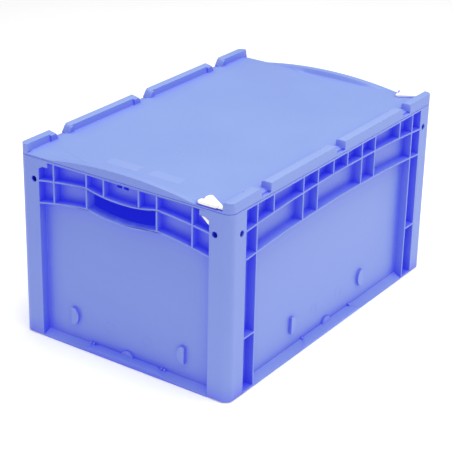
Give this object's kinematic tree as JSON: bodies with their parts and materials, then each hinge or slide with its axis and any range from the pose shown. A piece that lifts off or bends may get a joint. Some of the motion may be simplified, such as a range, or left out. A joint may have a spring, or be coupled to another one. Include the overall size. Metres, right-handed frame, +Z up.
{
  "type": "stacking tote with hinged lid",
  "caption": "Rectangular ribbed plastic storage tote with a hinged lid, snap latches and hand-holes, for stacking and carrying goods.",
  "frame": {"origin": "centre of the footprint, on the ground", "axes": "+X along the long sides, +Y towards the hinge side, +Z up"},
  "size_m": [0.6, 0.4, 0.3255],
  "materials": {
    "body_plastic": "fine moulded grain",
    "base_plastic": "fine moulded grain",
    "lid_plastic": "fine moulded grain",
    "latch_plastic": "smooth moulded",
    "pin_steel": "drawn wire"
  },
  "bodies": {
    "tote": {"tote_body": "body_plastic", "base_plate": "base_plastic", "hinge_bracket_left": "base_plastic", "hinge_bracket_middle": "base_plastic", "hinge_bracket_right": "base_plastic", "hinge_pin_left": "pin_steel", "hinge_pin_middle": "pin_steel", "hinge_pin_right": "pin_steel"},
    "lid": {"lid": "lid_plastic", "latch_pin_left": "pin_steel", "latch_pin_right": "pin_steel"},
    "latch_left": {"latch_left": "latch_plastic"},
    "latch_right": {"latch_right": "latch_plastic"}
  },
  "joints": [
    {"name": "lid_hinge", "type": "hinge", "parent": "tote", "child": "lid", "pos_m": [0, 0.1965, 0.3], "axis": [-1, 0, 0], "range_deg": [0, 130]},
    {"name": "latch_left_hinge", "type": "hinge", "parent": "lid", "child": "latch_left", "pos_m": [-0.2955, -0.162, 0.315], "axis": [0, -1, 0], "range_deg": [0, 12]},
    {"name": "latch_right_hinge", "type": "hinge", "parent": "lid", "child": "latch_right", "pos_m": [0.2955, -0.162, 0.315], "axis": [0, 1, 0], "range_deg": [0, 12]}
  ]
}
